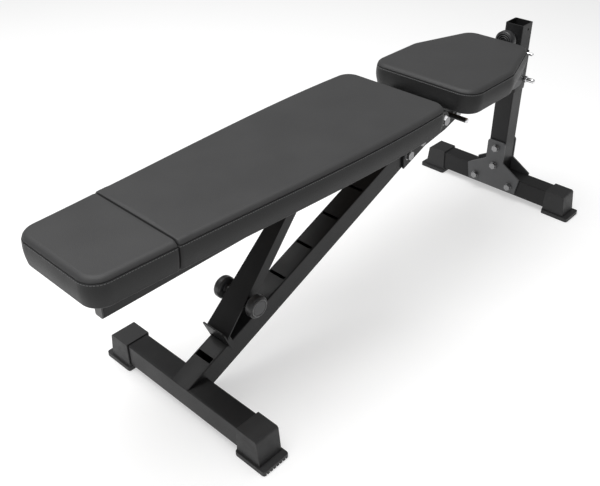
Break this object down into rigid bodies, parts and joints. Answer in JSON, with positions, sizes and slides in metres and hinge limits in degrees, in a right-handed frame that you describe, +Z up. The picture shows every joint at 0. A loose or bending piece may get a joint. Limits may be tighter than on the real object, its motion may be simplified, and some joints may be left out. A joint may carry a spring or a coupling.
{
  "type": "adjustable weight bench",
  "caption": "Adjustable weight bench: padded seat, folding backrest held by a strut on a slotted ladder tube, rear post with an open accessory socket.",
  "frame": {"origin": "on the floor at the middle of the bench's bounding box", "axes": "+Z up, +X along the bench from the head end of the backrest to the post, +Y to the left of a person sitting with their back on the backrest"},
  "size_m": [1.4037, 0.471, 0.4885],
  "materials": {
    "frame_paint": "satin black powder coat",
    "grey_paint": "satin gunmetal powder coat",
    "zinc": "zinc plated fasteners",
    "chrome": "bright chrome",
    "rubber": "matt moulded rubber",
    "plastic": "black moulded plastic",
    "upholstery": "matt black synthetic leather",
    "plywood": "bare plywood"
  },
  "bodies": {
    "frame": {"beam_bolt_front": "zinc", "beam_bolt_rear": "zinc", "gusset_bolt_left": "zinc", "gusset_bolt_lower": "zinc", "gusset_bolt_right": "zinc", "gusset_bolt_upper": "zinc", "gusset_plate_back": "grey_paint", "gusset_plate_front": "grey_paint", "head_bracket_plate_left": "frame_paint", "head_bracket_plate_right": "frame_paint", "hinge_bolt_left": "zinc", "hinge_bolt_right": "zinc", "hinge_cross_tube": "frame_paint", "ladder_bolt_lower": "zinc", "ladder_bolt_upper": "zinc", "ladder_foot_cap_left": "rubber", "ladder_foot_cap_right": "rubber", "ladder_foot_tube": "frame_paint", "ladder_tube": "frame_paint", "main_beam": "frame_paint", "pop_pin_housing": "zinc", "post_collar": "frame_paint", "post_foot_cap_left": "rubber", "post_foot_cap_right": "rubber", "post_foot_tube": "frame_paint", "post_side_plate_left": "grey_paint", "post_side_plate_right": "grey_paint", "post_tube": "frame_paint", "rod_cap_left": "chrome", "rod_cap_right": "chrome", "seat_board": "plywood", "seat_bracket_front": "frame_paint", "seat_bracket_rear": "frame_paint", "seat_cross_rod": "frame_paint", "seat_pad": "upholstery"},
    "backrest": {"backrest_board": "plywood", "backrest_crossbar": "frame_paint", "backrest_head_pad": "upholstery", "backrest_pad": "upholstery", "backrest_rail_left": "frame_paint", "backrest_rail_right": "frame_paint", "hinge_ear_left": "frame_paint", "hinge_ear_right": "frame_paint", "rail_plug_left": "plastic", "rail_plug_right": "plastic", "strut_bracket": "frame_paint", "strut_pivot_bolt": "zinc"},
    "strut": {"grip_knob_left": "plastic", "grip_knob_right": "plastic", "strut_channel": "frame_paint", "strut_foot": "frame_paint", "strut_grip_pin": "zinc"},
    "pop_pin": {"pop_pin_knob": "plastic"},
    "upper_pin": {"upper_hitch_pin": "chrome"},
    "lower_pin": {"lower_hitch_pin": "chrome"}
  },
  "joints": [
    {"name": "backrest_hinge", "type": "hinge", "parent": "frame", "child": "backrest", "pos_m": [0.218, 0, 0.398], "axis": [0, 1, 0], "range_deg": [-12, 50]},
    {"name": "strut_hinge", "type": "hinge", "parent": "backrest", "child": "strut", "pos_m": [-0.126, 0, 0.392], "axis": [0, 1, 0], "range_deg": [-100, 25]},
    {"name": "pop_pin_pull", "type": "slide", "parent": "frame", "child": "pop_pin", "axis": [-1, 0, 0], "range_m": [0, 0.014], "stiffness_N_per_m": 1200, "springref_m": -0.01},
    {"name": "upper_pin_slide", "type": "slide", "parent": "frame", "child": "upper_pin", "axis": [0, -1, 0], "range_m": [0, 0.075]},
    {"name": "lower_pin_slide", "type": "slide", "parent": "frame", "child": "lower_pin", "axis": [0, -1, 0], "range_m": [0, 0.075]}
  ],
  "couplings": [
    {"joint": "strut_hinge", "follows": "backrest_hinge", "ratio": -1.9}
  ]
}
